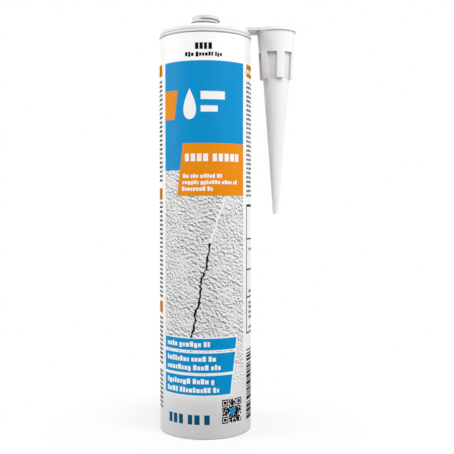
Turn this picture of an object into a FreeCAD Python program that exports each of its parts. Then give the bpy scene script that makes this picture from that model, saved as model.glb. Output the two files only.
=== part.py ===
import FreeCAD, Part
import math
import os

# A 300 ml caulk cartridge that stands on its open rear end.
# Its nozzle hangs tip down beside the head, on the tab that it is later broken off from.
# Lengths are in millimetres and angles in degrees.
# The origin is on the barrel's axis, in the plane of the rear edge, and +Z points to the neck.

# Barrel
barrel_outer_radius = 25.0
barrel_wall = 1.4
barrel_length = 212.1
rear_relief = 0.3
rear_relief_length = 20.0
rear_chamfer = 0.5

# Rim around the head, from the groove above the barrel upwards
groove_height = 0.55
groove_depth = 0.8
bead_height = 1.1
bead_bulge = 0.2
bead_crown = 0.5
shoulder_height = 3.05
shoulder_run = 1.9
shoulder_facets = 4
rim_flat_width = 2.6

# Head and neck
dish_depth = 0.8
head_thickness = 2.2
neck_height = 8.5
neck_root_radius = 7.25
neck_root_flare = 0.8
neck_edge_bevel = 0.5
neck_wall = 1.5
neck_seal_thickness = 0.8

# The thread that joins neck and nozzle: the room that it takes between the two walls
thread_height = 0.65
thread_clearance = 0.3

# Nozzle
nozzle_offset = 38.7
nozzle_length = 100.9
flange_radius = 10.9
flange_thickness = 2.1
flange_edge_bevel = 0.3
skirt_radius = 10.2
ledge_depth = 13.4
cone_ledge_radius = 8.17
tip_radius = 1.45
tip_bore_radius = 0.75
socket_end_gap = 0.4
socket_lead_in = 0.5
passage_radius = 6.2

# Grip ribs around the nozzle
rib_count = 6
rib_angle = 26.0
rib_length = 14.0
rib_foot_radius = 8.75
rib_root_depth = 0.4
first_rib_direction = -77.0

# Tab that carries the nozzle, with a seat under its end that rests on the rim
tab_half_width = 6.5
tab_thickness = 1.75
tab_seat_width = 0.8

# Piston
piston_depth = 22.0
piston_length = 18.0
piston_running_gap = 0.3
piston_waist_step = 1.1
piston_lip_land = 1.0
piston_lip_taper = 1.3
piston_skirt_wall = 1.2
piston_front_thickness = 2.0
piston_rib_count = 8
piston_rib_height = 3.0
piston_rib_thickness = 1.4
piston_rib_step = 0.6
piston_boss_radius = 5.0

# Sealant
fill_gap = 0.1

# Heights and radii that follow from the sizes above
bore_radius = barrel_outer_radius - barrel_wall
groove_top = barrel_length + groove_height
bead_top = groove_top + bead_height
rim_top = bead_top + shoulder_height
rim_flat_radius = barrel_outer_radius - shoulder_run
dish_floor = rim_top - dish_depth
head_underside = dish_floor - head_thickness
neck_top = rim_top + neck_height
nozzle_top = rim_top + flange_thickness
nozzle_tip = nozzle_top - nozzle_length
ledge = nozzle_top - ledge_depth
rib_foot = ledge - rib_length
socket_radius = neck_root_radius + thread_height + thread_clearance
socket_floor = nozzle_top - (neck_top - dish_floor) - socket_end_gap
piston_front = piston_depth + piston_length

up = FreeCAD.Vector(0, 0, 1)


def corner(radius, height):
    return FreeCAD.Vector(radius, 0, height)


def along(start, end, height):
    """Radius at a height on the straight line between two (radius, height) ends."""
    share = (height - start[1]) / (end[1] - start[1])
    return start[0] + share * (end[0] - start[0])


class Outline:
    """A closed outline of radius and height, drawn corner by corner and turned about the axis."""

    def __init__(self, radius, height):
        self.start = corner(radius, height)
        self.last = self.start
        self.edges = []

    def line(self, radius, height):
        target = corner(radius, height)
        self.edges.append(Part.makeLine(self.last, target))
        self.last = target

    def turned(self, angle=360.0):
        self.edges.append(Part.makeLine(self.last, self.start))
        face = Part.Face(Part.Wire(self.edges))
        return face.revolve(FreeCAD.Vector(0, 0, 0), up, angle)


def repeated(shape, count, first_direction=0.0):
    """Copies of a shape, evenly spaced around the axis."""
    copies = []
    for index in range(count):
        copy = shape.copy()
        copy.rotate(FreeCAD.Vector(0, 0, 0), up, first_direction + index * 360.0 / count)
        copies.append(copy)
    return copies


def cartridge_outside():
    """The barrel, rim, dished head and neck as one filled body."""
    outline = Outline(0, 0)
    outline.line(barrel_outer_radius, 0)
    outline.line(barrel_outer_radius, barrel_length)
    outline.line(barrel_outer_radius - groove_depth, barrel_length)
    outline.line(barrel_outer_radius - groove_depth, groove_top)
    outline.line(barrel_outer_radius, groove_top)
    bead_slope = (bead_height - bead_crown) / 2
    outline.line(barrel_outer_radius + bead_bulge, groove_top + bead_slope)
    outline.line(barrel_outer_radius + bead_bulge, bead_top - bead_slope)
    outline.line(barrel_outer_radius, bead_top)
    for facet in range(1, shoulder_facets + 1):
        turn = math.radians(90.0 * facet / shoulder_facets)
        shoulder_radius = rim_flat_radius + shoulder_run * math.cos(turn)
        outline.line(shoulder_radius, bead_top + shoulder_height * math.sin(turn))
    dish_radius = rim_flat_radius - rim_flat_width
    outline.line(dish_radius, rim_top)
    outline.line(dish_radius - dish_depth, dish_floor)
    outline.line(neck_root_radius + neck_root_flare, dish_floor)
    outline.line(neck_root_radius, dish_floor + neck_root_flare)
    outline.line(neck_root_radius, neck_top - neck_edge_bevel)
    outline.line(neck_root_radius - neck_edge_bevel, neck_top)
    outline.line(0, neck_top)
    return outline.turned()


def cartridge_inside():
    """The bore with its relieved rear end, and the blind hole in the neck."""
    relief_radius = bore_radius + rear_relief
    outline = Outline(0, 0)
    outline.line(relief_radius + rear_chamfer, 0)
    outline.line(relief_radius, rear_chamfer)
    outline.line(relief_radius, rear_relief_length)
    outline.line(bore_radius, rear_relief_length + rear_relief)
    outline.line(bore_radius, head_underside)
    outline.line(neck_root_radius - neck_wall, head_underside)
    outline.line(neck_root_radius - neck_wall, neck_top - neck_seal_thickness)
    outline.line(0, neck_top - neck_seal_thickness)
    return outline.turned()


def cartridge():
    return cartridge_outside().cut(cartridge_inside())


def skirt_side(height):
    """Radius of the nozzle's skirt and of the ribs' outer faces, which lie on one taper."""
    return along((skirt_radius, rim_top), (rib_foot_radius, rib_foot), height)


def cone_side(height):
    """Radius of the nozzle's cone, which runs straight from the ledge to the tip."""
    return along((cone_ledge_radius, ledge), (tip_radius, nozzle_tip), height)


def nozzle_outside():
    """Flange, skirt, ledge and cone as one filled body about its own axis."""
    outline = Outline(0, nozzle_tip)
    outline.line(tip_radius, nozzle_tip)
    outline.line(cone_ledge_radius, ledge)
    outline.line(skirt_side(ledge), ledge)
    outline.line(skirt_radius, rim_top)
    outline.line(flange_radius, rim_top)
    outline.line(flange_radius, nozzle_top - flange_edge_bevel)
    outline.line(flange_radius - flange_edge_bevel, nozzle_top)
    outline.line(0, nozzle_top)
    return outline.turned()


def nozzle_inside():
    """The socket for the neck, and the passage that narrows to the tip."""
    outline = Outline(0, nozzle_tip)
    outline.line(tip_bore_radius, nozzle_tip)
    outline.line(passage_radius, socket_floor)
    outline.line(socket_radius, socket_floor)
    outline.line(socket_radius, nozzle_top - socket_lead_in)
    outline.line(socket_radius + socket_lead_in, nozzle_top)
    outline.line(0, nozzle_top)
    return outline.turned()


def grip_rib():
    """One rib, from the ledge down to its blunt foot, rooted in the cone's wall."""
    outline = Outline(cone_side(rib_foot) - rib_root_depth, rib_foot)
    outline.line(rib_foot_radius, rib_foot)
    outline.line(skirt_side(ledge), ledge)
    outline.line(cone_side(ledge) - rib_root_depth, ledge)
    rib = outline.turned(rib_angle)
    rib.rotate(FreeCAD.Vector(0, 0, 0), up, -rib_angle / 2)
    return rib


def hanging_tab():
    """The flat tab, flush with the flange's top, and the seat that fills the gap under its end."""
    tab_underside = nozzle_top - tab_thickness
    tab_corner = FreeCAD.Vector(0, -tab_half_width, tab_underside)
    tab = Part.makeBox(nozzle_offset, 2 * tab_half_width, tab_thickness, tab_corner)
    seat_height = tab_underside - rim_top
    seat_corner = FreeCAD.Vector(0, -tab_half_width, rim_top)
    seat = Part.makeBox(rim_flat_radius, 2 * tab_half_width, seat_height, seat_corner)
    seat = seat.common(Part.makeCylinder(rim_flat_radius, seat_height, corner(0, rim_top)))
    head_room = Part.makeCylinder(rim_flat_radius - tab_seat_width, flange_thickness, corner(0, rim_top))
    return tab.fuse(seat).cut(head_room)


def nozzle():
    """The nozzle with its tab, moulded in one and hung beside the barrel."""
    place = FreeCAD.Vector(nozzle_offset, 0, 0)
    turned_parts = [nozzle_outside()] + repeated(grip_rib(), rib_count, first_rib_direction)
    for shape in turned_parts:
        shape.translate(place)
    passage = nozzle_inside()
    passage.translate(place)
    filled = turned_parts[0].fuse(turned_parts[1:] + [hanging_tab()])
    return filled.cut(passage).removeSplitter()


def piston():
    """A cup open to the rear, with a sealing lip at each end and low ribs behind its front."""
    lip_radius = bore_radius - piston_running_gap
    waist_radius = lip_radius - piston_waist_step
    lip_depth = piston_lip_land + piston_lip_taper
    cup_radius = waist_radius - piston_skirt_wall
    cup_floor = piston_front - piston_front_thickness
    outline = Outline(0, piston_front)
    outline.line(waist_radius, piston_front)
    outline.line(lip_radius, piston_front - piston_lip_taper)
    outline.line(lip_radius, piston_front - lip_depth)
    outline.line(waist_radius, piston_front - lip_depth - piston_lip_taper)
    outline.line(waist_radius, piston_depth + lip_depth + piston_lip_taper)
    outline.line(lip_radius, piston_depth + lip_depth)
    outline.line(lip_radius, piston_depth + piston_lip_taper)
    outline.line(waist_radius, piston_depth)
    outline.line(cup_radius, piston_depth)
    outline.line(cup_radius, cup_floor - piston_rib_height)
    outline.line(cup_radius - piston_rib_step, cup_floor - piston_rib_height)
    outline.line(cup_radius - piston_rib_step, cup_floor)
    outline.line(0, cup_floor)
    rib_size = (cup_radius, piston_rib_thickness, piston_rib_height)
    rib_corner = FreeCAD.Vector(0, -piston_rib_thickness / 2, cup_floor - piston_rib_height)
    rib = Part.makeBox(*rib_size, rib_corner)
    boss = Part.makeCylinder(piston_boss_radius, piston_rib_height, corner(0, rib_corner.z))
    return outline.turned().fuse(repeated(rib, piston_rib_count) + [boss]).removeSplitter()


def sealant():
    """The filling between piston and head."""
    length = head_underside - piston_front - 2 * fill_gap
    return Part.makeCylinder(bore_radius - fill_gap, length, corner(0, piston_front + fill_gap))


os.makedirs("parts", exist_ok=True)
for build in (cartridge, nozzle, piston, sealant):
    build().exportStep("parts/" + build.__name__ + ".step")
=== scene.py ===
import math
import random

import bpy
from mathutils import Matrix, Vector

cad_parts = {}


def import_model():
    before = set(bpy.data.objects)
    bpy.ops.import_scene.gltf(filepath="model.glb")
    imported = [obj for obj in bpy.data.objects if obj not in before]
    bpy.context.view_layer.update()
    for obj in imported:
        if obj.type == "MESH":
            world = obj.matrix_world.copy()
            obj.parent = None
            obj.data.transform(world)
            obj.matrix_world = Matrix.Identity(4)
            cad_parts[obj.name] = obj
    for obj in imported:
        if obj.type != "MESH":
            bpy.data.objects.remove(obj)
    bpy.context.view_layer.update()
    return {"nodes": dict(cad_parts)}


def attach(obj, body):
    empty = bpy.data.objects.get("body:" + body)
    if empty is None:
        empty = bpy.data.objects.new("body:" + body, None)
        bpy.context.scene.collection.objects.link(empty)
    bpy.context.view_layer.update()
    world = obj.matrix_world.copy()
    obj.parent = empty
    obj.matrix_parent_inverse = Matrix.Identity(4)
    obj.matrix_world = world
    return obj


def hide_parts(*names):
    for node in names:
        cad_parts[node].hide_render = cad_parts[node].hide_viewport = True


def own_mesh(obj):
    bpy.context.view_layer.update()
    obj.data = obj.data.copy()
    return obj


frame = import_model()

# Sizes are in millimetres and angles in degrees, until they go into a mesh.
# A place on the barrel is an angle and a height. The angle is 0 at the front and grows to the right.
MM = 0.001

# Cartridge, as in the solids
BARREL_RADIUS = 25.0
BARREL_TOP = 212.1
BORE_RADIUS = 23.6
RELIEF_RADIUS = 23.9
RELIEF_TOP = 20.0
GROOVE_RADIUS = 24.2
GROOVE_TOP = 212.65
BEAD_RADIUS = 25.17
BEAD_TOP = 213.75
SHOULDER_STEPS = 8
RIM_TOP = 216.8
DISH_RADIUS = 20.5
DISH_FLOOR = 216.0
HEAD_UNDERSIDE = 213.8
NECK_ROOT = 7.25
NECK_BORE = 5.75
NECK_SEAL = 224.5
NECK_TOP = 225.3

# The rim's flat, which reaches 0.9 mm further out here than in the solid, as the photograph shows
RIM_RADIUS = 24.0

# Print
PRINT_ROOT = 24.96
INK_THICKNESS = 0.02
INK_RUN = 0.09
PRINT_STEP = 3.0
SLANT_STEP = 2.0

# Neck, socket and the thread that joins them
THREAD_PITCH = 1.75
THREAD_TURNS = 1.55
THREAD_START = -25.0
THREAD_RUNS_RIGHT = 1
NECK_CREST = 7.9
NECK_THREAD_TOP = 224.3
SOCKET_ROOT = 8.2
SOCKET_CREST = 7.6
SOCKET_THREAD_TOP = 217.1
NOZZLE_OFFSET = 38.7
NOZZLE_TOP = 218.9
LEDGE = 205.5
SKIRT_RADIUS = 10.2
RIB_FOOT = 191.5
RIB_FOOT_RADIUS = 8.75

# Sealant
SEALANT_RADIUS = 23.5
SEALANT_LOW = 40.1
SEALANT_HIGH = 213.7

# Print on the barrel: left and right edges, then low and high ones
PANEL = (-56.5, 54.9)
BLUE_FIELD = (141.0, 197.6)
PLASTER_FIELD = (20.0, 141.0)
ORANGE_FIELD = (127.7, 155.0)
ORANGE_LEFT = (-34.6, -26.3)
TAG_FIELD = (167.6, 182.7)
TAG_RIGHT = (-38.6, -33.3)

# Camera and light
CAMERA_PLACE = (0.01188, -0.4178, 0.12348)
CAMERA_PITCH = 1.741
CAMERA_LENS = 60.08


def linear(value):
    """A screen value from 0 to 255 as a linear one from 0 to 1."""
    share = value / 255
    return share / 12.92 if share <= 0.04045 else ((share + 0.055) / 1.055) ** 2.4


def colour(red, green, blue):
    return (linear(red), linear(green), linear(blue), 1.0)


def grey(value):
    return colour(value, value, value)


class Finish:
    """A material made of nodes around one Principled shader."""

    def __init__(self, name, roughness, specular):
        self.material = bpy.data.materials.new(name)
        self.material.use_nodes = True
        self.tree = self.material.node_tree
        self.shader = self.tree.nodes["Principled BSDF"]
        self.shader.inputs["Roughness"].default_value = roughness
        self.shader.inputs["Specular IOR Level"].default_value = specular
        self.place = self.node("ShaderNodeTexCoord").outputs["Object"]

    def node(self, kind, inputs=(), **settings):
        node = self.tree.nodes.new(kind)
        for name, value in settings.items():
            setattr(node, name, value)
        for socket, value in dict(inputs).items():
            if isinstance(value, bpy.types.NodeSocket):
                self.tree.links.new(value, node.inputs[socket])
            else:
                node.inputs[socket].default_value = value
        return node

    def math(self, operation, first, second=0.0, clamp=False):
        inputs = {0: first, 1: second}
        return self.node("ShaderNodeMath", inputs, operation=operation, use_clamp=clamp).outputs[0]

    def noise(self, scale, detail=2.0, roughness=0.5, place=None, stretch=None):
        place = self.place if place is None else place
        if stretch is not None:
            place = self.node("ShaderNodeMapping", {"Vector": place, "Scale": stretch}).outputs[0]
        inputs = {"Vector": place, "Scale": scale, "Detail": detail, "Roughness": roughness}
        return self.node("ShaderNodeTexNoise", inputs).outputs[0]

    def spread(self, value, low, high, to_low=0.0, to_high=1.0):
        """A value mapped from one span to another, and kept inside it."""
        inputs = {0: value, 1: low, 2: high, 3: to_low, 4: to_high}
        return self.node("ShaderNodeMapRange", inputs, clamp=True).outputs[0]

    def mix(self, share, first, second):
        inputs = {0: share, 6: first, 7: second}
        return self.node("ShaderNodeMix", inputs, data_type="RGBA").outputs[2]

    def wrapped(self, lean):
        """The place on the unrolled barrel in millimetres, turned by an angle."""
        around = self.math("ARCTAN2", self.axis(0), self.math("MULTIPLY", self.axis(1), -1.0))
        along = self.math("MULTIPLY", around, BARREL_RADIUS)
        flat = self.node("ShaderNodeCombineXYZ", {0: along, 1: self.axis(2)}).outputs[0]
        turn = (0.0, 0.0, math.radians(lean))
        return self.node("ShaderNodeMapping", {"Vector": flat, "Rotation": turn}).outputs[0]

    def axis(self, index):
        """One coordinate in millimetres."""
        value = self.node("ShaderNodeSeparateXYZ", {0: self.place}).outputs[index]
        return self.math("DIVIDE", value, MM)

    def set(self, socket, value):
        self.tree.links.new(value, self.shader.inputs[socket])

    def bump(self, height, strength, distance):
        inputs = {"Height": height, "Strength": strength, "Distance": distance * MM}
        self.set("Normal", self.node("ShaderNodeBump", inputs).outputs[0])

    def soften(self, weight, radius):
        """Light that enters the plastic and leaves it a little further on."""
        self.shader.inputs["Subsurface Weight"].default_value = weight
        self.shader.inputs["Subsurface Radius"].default_value = (1.0, 0.9, 0.8)
        self.shader.inputs["Subsurface Scale"].default_value = radius * MM


def painted_foot_shade(finish, plain):
    """The plain colour with painted shade: greyer towards the barrel's lower edge, sooner on the right, and
    darkest in a thin band at the very foot.
    """
    height = finish.axis(2)
    lean = finish.spread(finish.axis(0), 10.0, 24.0, 0.0, 13.0)
    level = finish.math("SUBTRACT", height, lean)
    # Painted shade towards the foot: a paler grey first, a deeper grey lower down, and the darkest grey along the
    # bottom edge.
    pale = finish.mix(finish.spread(level, 16.0, 36.0, 1.0, 0.0), plain, grey(232))
    foot_shade = finish.mix(finish.spread(height, 0.0, 21.0, 1.0, 0.0), pale, grey(221))
    return finish.mix(finish.spread(height, 0.4, 1.0, 1.0, 0.0), foot_shade, grey(202))


def head_grey(finish, plain):
    """The plain colour up to the barrel's top; above it painted shade in the groove and in the crease over the
    bead, a slightly greyer bead, painted shade on the shoulder that lightens towards the rim's top, and a darker
    grey on the neck.
    """
    height = finish.axis(2)
    # Painted shade in the groove under the bead.
    groove = finish.spread(height, BARREL_TOP - 0.05, BARREL_TOP + 0.05)
    groove_shade = finish.mix(groove, plain, grey(208))
    bead = finish.mix(finish.spread(height, GROOVE_TOP - 0.1, GROOVE_TOP + 0.1), groove_shade, grey(238))
    # Painted shade on the shoulder, darker at its foot and lighter towards the rim's top, with a darker painted
    # crease just over the bead.
    shoulder_shade = finish.mix(finish.spread(height, BEAD_TOP, RIM_TOP), grey(216), grey(246))
    crease_shade = finish.mix(finish.spread(height, BEAD_TOP + 0.25, BEAD_TOP + 0.5), grey(180), shoulder_shade)
    head = finish.mix(finish.spread(height, BEAD_TOP - 0.15, BEAD_TOP), bead, crease_shade)
    neck = finish.spread(height, RIM_TOP, RIM_TOP + 0.4)
    return finish.mix(neck, head, grey(208))


def cartridge_finish():
    finish = Finish("cartridge_plastic", 0.42, 0.3)
    cloud = finish.noise(45.0, 3.0)
    plain = finish.mix(finish.spread(cloud, 0.3, 0.7), grey(249), grey(253))
    # Painted shade at the barrel's foot, in the groove, in the crease over the bead and on the shoulder.
    finish.set("Base Color", head_grey(finish, painted_foot_shade(finish, plain)))
    finish.set("Roughness", finish.spread(finish.noise(160.0, 3.0), 0.3, 0.7, 0.38, 0.47))
    grain = finish.noise(2200.0, 2.0)
    drawn = finish.noise(60.0, 2.0, stretch=(1.0, 1.0, 0.12))
    finish.bump(finish.math("ADD", finish.math("MULTIPLY", grain, 0.3), drawn), 0.25, 0.05)
    return finish.material


def squared(finish, value):
    return finish.math("MULTIPLY", value, value)


def thread_shade_finish():
    """Painted shade under the neck's thread: dark grey with a fine speckle and bump."""
    finish = Finish("painted_thread_shade", 0.6, 0.1)
    speckle = finish.noise(1400.0, 3.0)
    finish.set("Base Color", finish.mix(finish.spread(speckle, 0.3, 0.7), grey(118), grey(146)))
    finish.bump(speckle, 0.2, 0.04)
    return finish.material


def nozzle_finish():
    finish = Finish("nozzle_plastic", 0.4, 0.35)
    cloud = finish.noise(70.0, 3.0)
    plain = finish.mix(finish.spread(cloud, 0.3, 0.7), grey(249), grey(253))
    height = finish.axis(2)
    beside = finish.math("SUBTRACT", finish.axis(0), NOZZLE_OFFSET)
    radius = finish.math("SQRT", finish.math("ADD", squared(finish, beside), squared(finish, finish.axis(1))))
    # Painted shade on the skirt above the ledge, on its half towards the barrel, strongest nearest the barrel.
    beside_barrel = finish.spread(beside, -10.5, -1.0, 1.0, 0.0)
    below_top = finish.spread(height, NOZZLE_TOP - 0.3, NOZZLE_TOP - 0.1, 1.0, 0.0)
    on_skirt = finish.math("MULTIPLY", finish.spread(height, LEDGE - 1.0, LEDGE + 1.0), below_top)
    plain = finish.mix(finish.math("MULTIPLY", beside_barrel, on_skirt), plain, grey(223))
    # Painted shade among the ribs: darker on the ribs' side faces, lighter on the recess floors.
    rib_face = finish.spread(height, RIB_FOOT, RIM_TOP, RIB_FOOT_RADIUS, SKIRT_RADIUS)
    depth = finish.math("SUBTRACT", rib_face, radius)
    above_foot = finish.spread(height, RIB_FOOT, RIB_FOOT + 0.3)
    below_ledge = finish.spread(height, LEDGE + 0.1, LEDGE - 0.1)
    outside = finish.spread(radius, 6.4, 6.8)
    among_ribs = finish.math("MULTIPLY", finish.math("MULTIPLY", above_foot, below_ledge), outside)
    recess_shade = finish.mix(finish.spread(depth, 1.15, 1.3), grey(208), grey(238))
    sunk = finish.math("MULTIPLY", finish.spread(depth, 0.1, 0.3), among_ribs)
    finish.set("Base Color", finish.mix(sunk, plain, recess_shade))
    finish.set("Roughness", finish.spread(finish.noise(220.0, 3.0), 0.3, 0.7, 0.36, 0.46))
    grain = finish.noise(1800.0, 2.0)
    flow = finish.noise(90.0, 2.0, stretch=(1.0, 1.0, 0.15))
    finish.bump(finish.math("ADD", finish.math("MULTIPLY", grain, 0.3), flow), 0.25, 0.06)
    finish.soften(0.08, 1.5)
    return finish.material


def piston_finish():
    finish = Finish("piston_plastic", 0.45, 0.35)
    cloud = finish.noise(90.0, 3.0)
    finish.set("Base Color", finish.mix(finish.spread(cloud, 0.3, 0.7), grey(228), grey(238)))
    finish.set("Roughness", finish.spread(finish.noise(240.0, 3.0), 0.3, 0.7, 0.4, 0.52))
    finish.bump(finish.noise(1500.0, 2.0), 0.2, 0.05)
    finish.soften(0.15, 2.0)
    return finish.material


def sealant_finish():
    finish = Finish("sealant_paste", 0.35, 0.45)
    cloud = finish.noise(60.0, 4.0)
    finish.set("Base Color", finish.mix(finish.spread(cloud, 0.3, 0.7), grey(238), grey(246)))
    smear = finish.noise(250.0, 3.0, stretch=(1.0, 1.0, 0.3))
    finish.bump(smear, 0.4, 0.2)
    finish.soften(0.1, 1.0)
    return finish.material


def ink_finish(name, tone, roughness=0.5, specular=0.08):
    """Printing ink: a little mottled, with the barrel's fine grain showing through."""
    finish = Finish(name, roughness, specular)
    darker = tuple(0.96 * value for value in tone[:3]) + (1.0,)
    mottle = finish.spread(finish.noise(900.0, 3.0), 0.35, 0.65)
    finish.set("Base Color", finish.mix(mottle, darker, tone))
    finish.set("Roughness", finish.spread(finish.noise(500.0, 2.0), 0.3, 0.7, roughness - 0.05, roughness + 0.06))
    finish.bump(finish.noise(2200.0, 2.0), 0.15, 0.03)
    return finish.material


def plaster_finish():
    """A printed picture of rough plaster: strokes with a lit and a shaded side, painted flat."""
    finish = Finish("plaster_print", 0.5, 0.08)
    place = finish.wrapped(26.0)

    def relief(offset):
        moved = finish.node("ShaderNodeMapping", {"Vector": place, "Location": offset}).outputs[0]
        return finish.noise(0.7, 4.0, 0.68, place=moved, stretch=(0.85, 1.0, 1.0))

    slope = finish.math("SUBTRACT", relief((0.0, 0.5, 0.0)), relief((0.0, 0.0, 0.0)))
    patches = finish.spread(finish.noise(0.11, 3.0, place=place), 0.35, 0.65, 0.6, 1.6)
    slope = finish.math("MULTIPLY", slope, patches)
    shade = finish.spread(slope, 0.005, 0.115)
    shine = finish.spread(slope, -0.02, -0.12)
    wall = finish.mix(shade, grey(243), grey(92))
    wall = finish.mix(shine, wall, grey(254))
    fade = finish.spread(finish.axis(2), 23.0, 44.0)
    # Below the picture the print fades into the plain colour with its painted shade towards the foot.
    finish.set("Base Color", finish.mix(fade, painted_foot_shade(finish, grey(251)), wall))
    finish.bump(finish.noise(2200.0, 2.0), 0.15, 0.03)
    return finish.material


def on_barrel(angle, height, radius):
    turn = math.radians(angle)
    return (radius * math.sin(turn) * MM, -radius * math.cos(turn) * MM, height * MM)


def piece(name, points, faces, material, body, smooth_below=0.0):
    """A mesh object with one material that rides on a body, shaded smooth over its gentler edges."""
    mesh = bpy.data.meshes.new(name)
    mesh.from_pydata(points, [], faces)
    mesh.update()
    mesh.validate()
    mesh.polygons.foreach_set("use_smooth", [smooth_below > 0] * len(mesh.polygons))
    mesh.set_sharp_from_angle(angle=math.radians(smooth_below))
    mesh.materials.append(material)
    made = bpy.data.objects.new(name, mesh)
    bpy.context.scene.collection.objects.link(made)
    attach(made, body)
    return made


class Ink:
    """One colour of print. Each patch is a closed thin shell on the barrel, and all are one piece."""

    def __init__(self):
        self.points = []
        self.faces = []

    def patch(self, rows, layer):
        """rows are (height, left, right) from low to high. A higher layer lies over a lower one."""
        width = max(right - left for _, left, right in rows)
        columns = max(1, math.ceil(width / PRINT_STEP))
        across = columns + 1
        first = len(self.points)
        for radius in (PRINT_ROOT, BARREL_RADIUS + layer * INK_THICKNESS):
            for height, left, right in rows:
                for column in range(across):
                    angle = left + (right - left) * column / columns
                    self.points.append(on_barrel(angle, height, radius))
        above = len(rows) * across

        def quad(a, b, c, d):
            self.faces.append((first + a, first + b, first + c, first + d))

        for row in range(len(rows) - 1):
            for column in range(columns):
                a = row * across + column
                b = a + 1
                c = b + across
                d = a + across
                quad(a + above, b + above, c + above, d + above)
                quad(d, c, b, a)
            left = row * across
            right = left + columns
            quad(left, left + above, left + across + above, left + across)
            quad(right + above, right, right + across, right + across + above)
        top = (len(rows) - 1) * across
        for column in range(columns):
            quad(column, column + 1, column + 1 + above, column + above)
            a = top + column
            quad(a + above, a + 1 + above, a + 1, a)

    def bar(self, left, right, low, high, layer):
        self.patch([(low, left, right), (high, left, right)], layer)

    def slanted(self, lefts, rights, low, high, layer):
        """A field whose left and right edges lean from their low ends to their high ones."""
        lean = max(abs(lefts[1] - lefts[0]), abs(rights[1] - rights[0]))
        steps = max(1, math.ceil(lean / SLANT_STEP))
        rows = []
        for step in range(steps + 1):
            share = step / steps
            left = lefts[0] + (lefts[1] - lefts[0]) * share
            right = rights[0] + (rights[1] - rights[0]) * share
            rows.append((low + (high - low) * share, left, right))
        self.patch(rows, layer)

    def made(self, name, material):
        return piece(name, self.points, self.faces, material, "tube")


def text_line(ink, left, right, low, high, layer, draw, gap=0.17, from_right=False):
    """A line of stand-in text: words of plain upright blocks, in no writing at all."""
    tall = high - low
    unit = math.degrees(tall / BARREL_RADIUS)
    blocks = []
    at = 0.0
    while at < right - left:
        for _ in range(draw.randint(2, 9)):
            width = unit * draw.choice((0.45, 0.58, 0.7))
            foot = low if draw.random() < 0.87 else low - 0.2 * tall
            head = high if draw.random() < 0.4 else low + 0.75 * tall
            blocks.append((at, width, foot, head))
            at += width + unit * gap
            if at > right - left:
                break
        at += unit * 0.35
    last, last_width = blocks[-1][:2]
    fit = (right - left) / (last + last_width)
    for start, width, foot, head in blocks:
        edge = right - (start + width) * fit if from_right else left + start * fit
        ink.bar(edge, edge + width * fit, foot, head, layer)


def heading(ink, left, right, low, high, layer, words, draw):
    """Large stand-in text: a given number of blocks in each word, over a whole width."""
    unit = (right - left) / (sum(words) + 0.5 * (len(words) - 1))
    at = left
    for letters in words:
        for _ in range(letters):
            ink.bar(at, at + unit * draw.uniform(0.68, 0.82), low, high, layer)
            at += unit
        at += unit * 0.5


def drop(ink, centre, low, high, half_width, layer):
    """The generic mark on the blue field: a drop that stands on its round end."""
    steps = 24
    rows = []
    for step in range(steps + 1):
        turn = math.pi * step / steps
        height = low + (high - low) * (1 - math.cos(turn)) / 2
        half = half_width * math.sin(turn) * math.cos(turn / 2) ** 1.2 * 1.35
        rows.append((height, centre - max(half, 0.05), centre + max(half, 0.05)))
    ink.patch(rows, layer)


def crack(ink, lower, upper, widths, sway, jag, steps, draw):
    """A jagged crack from a lower place to an upper one, with its own drawn bends."""
    stretch = 4
    bends = [draw.uniform(-sway, sway) for _ in range(steps // stretch + 2)]
    rows = []
    for step in range(steps + 1):
        share = step / steps
        bend, within = divmod(step, stretch)
        drift = bends[bend] + (bends[bend + 1] - bends[bend]) * within / stretch
        pull = math.sin(math.pi * share) ** 0.5
        middle = lower[0] + (upper[0] - lower[0]) * share + (drift + draw.uniform(-jag, jag)) * pull
        height = lower[1] + (upper[1] - lower[1]) * share
        half = draw.uniform(*widths) / 2
        rows.append((height, middle - half, middle + half))
    ink.patch(rows, 2)


def code_square(dark, left, low, modules, side, layer, draw):
    """A square code in name only: random modules with three plain corner squares."""
    step = math.degrees(side / modules / BARREL_RADIUS)
    rise = side / modules

    def block(column, row, columns, rows):
        across = left + column * step
        up = low + row * rise
        wider = math.degrees(INK_RUN / BARREL_RADIUS)
        right = across + columns * step + wider
        dark.bar(across - wider, right, up - INK_RUN, up + rows * rise + INK_RUN, layer)

    corners = ((0, 0), (0, modules - 7), (modules - 7, modules - 7))
    for column, row in corners:
        block(column, row, 7, 1)
        block(column, row + 6, 7, 1)
        block(column, row + 1, 1, 5)
        block(column + 6, row + 1, 1, 5)
        block(column + 2, row + 2, 3, 3)
    for row in range(modules):
        for column in range(modules):
            in_corner = any(c - 1 <= column <= c + 7 and r - 1 <= row <= r + 7 for c, r in corners)
            if not in_corner and draw.random() < 0.66:
                block(column, row, 1, 1)


def barcode(dark, left, right, low, high, layer, draw):
    """Bars of drawn widths, one above another."""
    unit = 0.62
    at = low
    while at < high - 3 * unit:
        bar = unit * draw.choice((1.2, 1.2, 2.2, 3.2))
        dark.bar(left, right, at, at + bar, layer)
        at += bar + unit * draw.choice((0.8, 0.8, 1.8))


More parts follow.
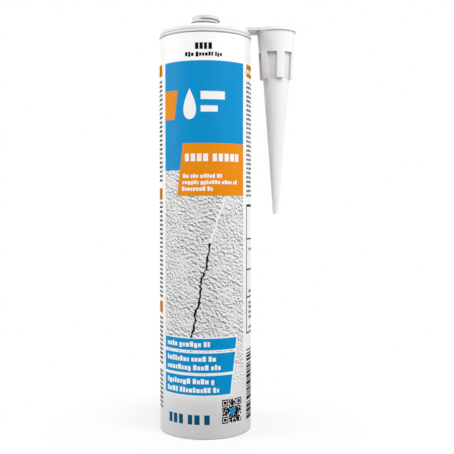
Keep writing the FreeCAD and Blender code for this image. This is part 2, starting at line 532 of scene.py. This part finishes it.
def front_print(inks, draw):
    blue, strip_blue, orange, white, dark, deep = inks
    blue.bar(*PANEL, *BLUE_FIELD, 1)
    orange.slanted(ORANGE_LEFT, (PANEL[1], PANEL[1]), *ORANGE_FIELD, 2)
    orange.slanted((PANEL[0], PANEL[0]), TAG_RIGHT, *TAG_FIELD, 2)
    drop(white, -17.5, 167.4, 183.4, 8.0, 2)
    white.bar(-4.0, 25.5, 177.6, 181.8, 2)
    white.bar(-4.0, 16.5, 171.2, 174.4, 2)
    heading(white, -23.5, 47.7, 145.6, 149.6, 3, (4, 5), draw)
    for left, right, low, high in (
        (-26.2, 21.8, 137.0, 139.1),
        (-26.9, 42.5, 133.8, 135.8),
        (-27.6, 10.3, 130.3, 132.5),
    ):
        text_line(white, left, right, low, high, 3, draw)
    heading(dark, -10.6, 10.6, 203.3, 206.7, 1, (4,), draw)
    text_line(dark, -23.2, 21.8, 199.9, 202.0, 1, draw)
    strips = (
        (47.2, 53.2, 40.8, 42.1, ((48.9, 6.9),)),
        (35.2, 45.5, 36.9, 40.4, ((41.2, 14.0), (36.7, 20.0))),
        (23.4, 33.7, 32.9, 36.0, ((29.4, 12.0), (24.8, 18.0))),
    )
    for low, high, right_low, right_high, lines in strips:
        edge = 0.66
        lean = math.degrees(edge / BARREL_RADIUS)
        outside = (right_low + lean, right_high + lean)
        white.slanted((PANEL[0], PANEL[0]), outside, low - edge, high + edge, 2)
        strip_blue.slanted((PANEL[0], PANEL[0]), (right_low, right_high), low, high, 3)
        for foot, right in lines:
            text_line(white, -51.6, right, foot, foot + 2.7, 4, draw)
    heading(deep, -48.8, 8.1, 7.9, 13.0, 1, (3, 2, 1), draw)
    white.bar(21.6, 50.4, 7.7, 20.9, 1)
    code_square(dark, 22.0, 8.0, 25, 12.6, 2, draw)
    strip_blue.bar(32.6, 39.6, 12.4, 15.8, 3)


def side_print(orange, white, dark, draw):
    columns = (
        (-65.3, -117.0, (191.7, 125.8, 64.7)),
        (-124.0, -176.0, (191.7, 140.2, 79.0)),
        (177.0, 131.0, (191.7, 125.8, 60.0)),
    )
    for start, end, tabs in columns:
        left, right = min(start, end), max(start, end)
        for tab in tabs:
            orange.bar(left, right, tab, tab + 6.2, 1)
            text_line(white, left + 2.0, left + draw.uniform(18.0, 30.0), tab + 2.0, tab + 4.4, 2, draw)
        line = 188.4
        while line > 11.0:
            beside = any(tab - 2.2 < line < tab + 7.4 for tab in tabs)
            if not beside and draw.random() < 0.96:
                text_line(dark, left, right, line, line + 1.4, 1, draw, 0.12, from_right=end < 0)
            line -= 2.4
    right_column(orange, white, dark, draw)


def right_column(orange, white, dark, draw):
    """The side that the photograph shows at the right: text, a table and bars."""
    left, right = 62.6, 124.0
    orange.bar(left, right, 191.2, 197.9, 1)
    text_line(white, left + 1.5, left + 30.0, 193.2, 195.9, 2, draw)
    line = 187.6
    while line > 126.0:
        text_line(dark, left, right - draw.choice((0.0, 2.0, 14.0)), line, line + 1.3, 1, draw, 0.2)
        line -= 2.4
    low, high = 53.6, 122.0
    line_width = 0.75
    line_angle = math.degrees(line_width / BARREL_RADIUS)
    dark.bar(left, right, high, high + 1.3, 1)
    for edge in (left, left + 33.0, right - line_angle):
        dark.bar(edge, edge + line_angle, low, high, 1)
    for across in (104.3, 87.8, 72.9, low):
        dark.bar(left + line_angle, right - line_angle, across, across + line_width, 2)
    for foot in (98.4, 75.6, 69.3, 66.9, 64.2, 61.5, 56.0):
        text_line(dark, left + 8.0, left + 27.0, foot, foot + 1.5, 1, draw)
        text_line(dark, left + 36.0, right - 4.0, foot, foot + 1.5, 1, draw)
    barcode(dark, left + 0.7, right - 8.0, 7.1, 47.0, 1, draw)


def print_on_barrel():
    draw = random.Random(31)
    blue, strip_blue, orange, amber, white, dark, deep = (Ink() for _ in range(7))
    front_print((blue, strip_blue, orange, white, dark, deep), draw)
    side_print(amber, white, dark, draw)
    plaster = Ink()
    plaster.bar(*PANEL, *PLASTER_FIELD, 1)
    pale_crack = Ink()
    crack(pale_crack, (7.0, 103.2), (25.2, 127.1), (2.2, 3.2), 1.6, 0.5, 24, draw)
    dark_crack = Ink()
    crack(dark_crack, (-15.7, 53.5), (7.0, 103.2), (1.4, 3.2), 2.6, 1.2, 44, draw)
    blue.made("print_blue", ink_finish("ink_blue", colour(6, 149, 212)))
    strip_blue.made("print_strips", ink_finish("ink_strip_blue", colour(0, 150, 212)))
    orange.made("print_orange", ink_finish("ink_orange", colour(243, 146, 14)))
    amber.made("print_amber", ink_finish("ink_amber", colour(208, 130, 0), specular=0.0))
    white.made("print_white", ink_finish("ink_white", grey(254)))
    dark.made("print_black", ink_finish("ink_black", grey(10), specular=0.04))
    deep.made("print_deep_blue", ink_finish("ink_deep_blue", colour(0, 84, 119)))
    plaster.made("print_plaster", plaster_finish())
    pale_crack.made("print_crack_thin", ink_finish("ink_crack_thin", grey(254)))
    dark_crack.made("print_crack", ink_finish("ink_crack", grey(16)))


def helix(name, root, crest, top, turns, centre, materials, body):
    """A thread's ridge: a closed bar that tapers out at both ends. Its lower flank takes the second material,
    which on the neck's thread is a painted shade.
    """
    steps = round(turns * 72)
    upper_flank, land, lower_flank = 0.3, 0.4, 0.6
    points = []
    for step in range(steps + 1):
        share = step / steps
        turn = (THREAD_START + 360.0 * turns * share) * THREAD_RUNS_RIGHT
        rise = min(1.0, 30.0 * share + 0.02, 30.0 * (1 - share) + 0.02)
        foot = top - upper_flank - land - lower_flank - THREAD_PITCH * turns * share
        tip = root + (crest - root) * rise
        sunk = root + (0.15 if root > crest else -0.15)
        for radius, height in (
            (sunk, foot),
            (sunk, foot + lower_flank + land + upper_flank),
            (tip, foot + lower_flank + land),
            (tip, foot + lower_flank),
        ):
            x, y, z = on_barrel(turn, height, radius)
            points.append((x + centre * MM, y, z))
    outward = crest > root
    faces = []
    for step in range(steps):
        for side in range(4):
            a = step * 4 + side
            b = step * 4 + (side + 1) % 4
            quad = (a, b, b + 4, a + 4)
            faces.append(quad if outward else quad[::-1])
    first = (3, 2, 1, 0)
    last = tuple(steps * 4 + corner for corner in range(4))
    faces.append(first if outward else first[::-1])
    faces.append(last if outward else last[::-1])
    plastic, lower_flank_finish = materials
    made = piece(name, points, faces, plastic, body)
    made.data.materials.append(lower_flank_finish)
    # The lower flank's faces take the second material; on the neck's thread it is a painted shade.
    under = [int(index < steps * 4 and index % 4 == 3) for index in range(len(faces))]
    made.data.polygons.foreach_set("material_index", under)
    return made


def rounded(corners):
    """The corners' (radius, height), with a curve of a given reach in place of each sharp one."""
    steps = 4
    profile = []
    for index, (radius, height, reach) in enumerate(corners):
        here = Vector((radius, height))
        if reach == 0:
            profile.append(here)
            continue
        start = here + (Vector(corners[index - 1][:2]) - here).normalized() * reach
        end = here + (Vector(corners[index + 1][:2]) - here).normalized() * reach
        for step in range(steps + 1):
            share = step / steps
            profile.append(start.lerp(here, share).lerp(here.lerp(end, share), share))
    return profile


def lathe(name, profile, segments, material, body, smooth_below=0.0):
    """A closed body of turning from (radius, height) corners that start and end on the axis."""
    points = []
    faces = []
    for radius, height in profile[1:-1]:
        for segment in range(segments):
            turn = 2 * math.pi * segment / segments
            points.append((radius * math.cos(turn) * MM, radius * math.sin(turn) * MM, height * MM))
    low = len(points)
    points.append((0.0, 0.0, profile[0][1] * MM))
    high = len(points)
    points.append((0.0, 0.0, profile[-1][1] * MM))
    rings = len(profile) - 2
    for segment in range(segments):
        after = (segment + 1) % segments
        faces.append((low, after, segment))
        for ring in range(rings - 1):
            a = ring * segments + segment
            b = ring * segments + after
            faces.append((a, b, b + segments, a + segments))
        top = (rings - 1) * segments
        faces.append((high, top + segment, top + after))
    return piece(name, points, faces, material, body, smooth_below)


def cartridge(material):
    """The barrel, rim, head and neck in one, with the solid's sizes and softened corners."""
    shoulder = []
    for step in range(SHOULDER_STEPS + 1):
        turn = math.pi / 2 * step / SHOULDER_STEPS
        radius = RIM_RADIUS + (BARREL_RADIUS - RIM_RADIUS) * math.cos(turn)
        shoulder.append((radius, BEAD_TOP + (RIM_TOP - BEAD_TOP) * math.sin(turn), 0.0))
    corners = (
        (0.0, NECK_SEAL, 0.0),
        (NECK_BORE, NECK_SEAL, 0.4),
        (NECK_BORE, HEAD_UNDERSIDE, 0.3),
        (BORE_RADIUS, HEAD_UNDERSIDE, 0.6),
        (BORE_RADIUS, RELIEF_TOP, 0.1),
        (RELIEF_RADIUS, RELIEF_TOP - 0.3, 0.1),
        (RELIEF_RADIUS, 0.5, 0.1),
        (RELIEF_RADIUS + 0.3, 0.0, 0.1),
        (BARREL_RADIUS, 0.0, 0.25),
        (BARREL_RADIUS, BARREL_TOP, 0.08),
        (GROOVE_RADIUS, BARREL_TOP, 0.08),
        (GROOVE_RADIUS, GROOVE_TOP, 0.08),
        (BARREL_RADIUS, GROOVE_TOP, 0.1),
        (BEAD_RADIUS, GROOVE_TOP + 0.3, 0.2),
        (BEAD_RADIUS, BEAD_TOP - 0.3, 0.2),
        *shoulder,
        (DISH_RADIUS, RIM_TOP, 0.3),
        (DISH_RADIUS - 0.8, DISH_FLOOR, 0.5),
        (NECK_ROOT, DISH_FLOOR, 0.8),
        (NECK_ROOT, NECK_TOP, 0.5),
        (0.0, NECK_TOP, 0.0),
    )
    made = lathe("cartridge_shell", rounded(corners), 192, material, "tube", 30.0)
    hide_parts("cartridge")


def sealant():
    """The paste between piston and head. The real paste flattens towards the head as the piston moves; here it is
    one fixed piece on the tube.
    """
    edge = 0.6
    profile = [(0.0, SEALANT_LOW), (SEALANT_RADIUS - edge, SEALANT_LOW)]
    profile += [(SEALANT_RADIUS, SEALANT_LOW + edge), (SEALANT_RADIUS, SEALANT_HIGH - edge)]
    profile += [(SEALANT_RADIUS - edge, SEALANT_HIGH), (0.0, SEALANT_HIGH)]
    made = lathe("sealant_fill", profile, 96, sealant_finish(), "tube", 30.0)
    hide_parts("sealant")
    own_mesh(made)


def dress_nodes(nozzle_plastic):
    finishes = {"nozzle": nozzle_plastic, "piston": piston_finish()}
    for name, material in finishes.items():
        node = frame["nodes"][name]
        node.data.materials.clear()
        node.data.materials.append(material)


def floor():
    """A pale floor that holds the shadow near the object and fades to white further out.

    It is clear from below, and under the barrel, so that the piston can be looked at from there.
    """
    size = 3.0
    mesh = bpy.data.meshes.new("floor")
    corners = [(-size, -size, 0.0), (size, -size, 0.0), (size, size, 0.0), (-size, size, 0.0)]
    mesh.from_pydata(corners, [], [(0, 1, 2, 3)])
    made = bpy.data.objects.new("floor", mesh)
    bpy.context.scene.collection.objects.link(made)
    finish = Finish("floor_pale", 0.9, 0.0)
    seen = seen_by_camera(finish)
    finish.set("Base Color", finish.mix(seen, grey(118), grey(240)))
    tree = finish.tree
    white = finish.node("ShaderNodeEmission", {"Color": (1.0, 1.0, 1.0, 1.0), "Strength": 1.0})
    far = finish.node("ShaderNodeVectorMath", {0: finish.place}, operation="LENGTH").outputs["Value"]
    share = finish.math("MULTIPLY", finish.spread(far, 0.03, 0.09, 0.55, 1.0), seen)
    blend = finish.node("ShaderNodeMixShader", {0: share, 1: finish.shader.outputs[0], 2: white.outputs[0]})
    clear = finish.node("ShaderNodeBsdfTransparent")
    below = finish.node("ShaderNodeNewGeometry").outputs["Backfacing"]
    under_barrel = finish.math("LESS_THAN", far, (BARREL_RADIUS - 0.2) * MM)
    open_here = finish.math("MAXIMUM", below, under_barrel)
    cut = finish.node("ShaderNodeMixShader", {0: open_here, 1: blend.outputs[0], 2: clear.outputs[0]})
    tree.links.new(cut.outputs[0], tree.nodes["Material Output"].inputs["Surface"])
    mesh.materials.append(finish.material)


def seen_by_camera(finish):
    """1 for rays that come from the camera, a gloss or a clear surface, and 0 for the light's own."""
    path = finish.node("ShaderNodeLightPath")
    direct = finish.math("ADD", path.outputs["Is Camera Ray"], path.outputs["Is Glossy Ray"])
    return finish.math("ADD", direct, path.outputs["Is Transmission Ray"], clamp=True)


def world(ambient):
    made = bpy.data.worlds.new("soft_world")
    made.use_nodes = True
    bpy.context.scene.world = made
    nodes = made.node_tree.nodes
    links = made.node_tree.links
    background = nodes["Background"]
    background.inputs["Color"].default_value = (1.0, 1.0, 1.0, 1.0)
    path = nodes.new("ShaderNodeLightPath")
    total = path.outputs["Is Camera Ray"]
    for name in ("Is Glossy Ray", "Is Transmission Ray"):
        add = nodes.new("ShaderNodeMath")
        add.operation = "ADD"
        add.use_clamp = True
        links.new(total, add.inputs[0])
        links.new(path.outputs[name], add.inputs[1])
        total = add.outputs[0]
    strength = nodes.new("ShaderNodeMapRange")
    strength.inputs["To Min"].default_value = ambient
    strength.inputs["To Max"].default_value = 1.0
    links.new(total, strength.inputs["Value"])
    links.new(strength.outputs[0], background.inputs["Strength"])


def lamp(name, azimuth, elevation, distance, size, power):
    """A soft square lamp that looks at the object. Azimuth 0 is the camera's side, 90 the right."""
    data = bpy.data.lights.new(name, "AREA")
    data.shape = "SQUARE"
    data.size = size
    data.energy = power
    made = bpy.data.objects.new(name, data)
    bpy.context.scene.collection.objects.link(made)
    side = math.radians(azimuth)
    lift = math.radians(elevation)
    target = Vector((0.0, 0.0, 0.11))
    away = Vector((math.sin(side) * math.cos(lift), -math.cos(side) * math.cos(lift), math.sin(lift)))
    made.location = target + away * distance
    made.rotation_mode = "QUATERNION"
    made.rotation_quaternion = away.to_track_quat("Z", "Y")


def lights():
    world(0.35)
    lamp("front_high", 5.0, 52.0, 1.2, 0.45, 5.25)
    lamp("key_right", 50.0, 28.0, 1.2, 0.6, 7.0)
    lamp("side_right", 100.0, 20.0, 1.2, 0.6, 2.2)
    lamp("fill_left", -84.0, 12.0, 1.2, 0.7, 9.0)
    lamp("back", 180.0, 8.0, 1.2, 0.9, 6.0)
    lamp("under", 0.0, -75.0, 1.2, 0.6, 6.0)


def camera():
    data = bpy.data.cameras.new("camera")
    data.lens = CAMERA_LENS
    data.clip_start = 0.01
    made = bpy.data.objects.new("camera", data)
    made.location = CAMERA_PLACE
    made.rotation_euler = (math.radians(90.0 - CAMERA_PITCH), 0.0, 0.0)
    bpy.context.scene.collection.objects.link(made)
    bpy.context.scene.camera = made


camera()
lights()
floor()
cartridge_plastic = cartridge_finish()
nozzle_plastic = nozzle_finish()
dress_nodes(nozzle_plastic)
cartridge(cartridge_plastic)
print_on_barrel()
# Painted shade for the lower flank of the neck's thread.
lower_flank_finish = thread_shade_finish()
helix("neck_thread", NECK_ROOT, NECK_CREST, NECK_THREAD_TOP, THREAD_TURNS, 0.0, (cartridge_plastic, lower_flank_finish), "tube")
helix("socket_thread", SOCKET_ROOT, SOCKET_CREST, SOCKET_THREAD_TOP, THREAD_TURNS, NOZZLE_OFFSET, (nozzle_plastic, nozzle_plastic), "tube")
sealant()
bpy.context.scene.view_settings.view_transform = "Standard"
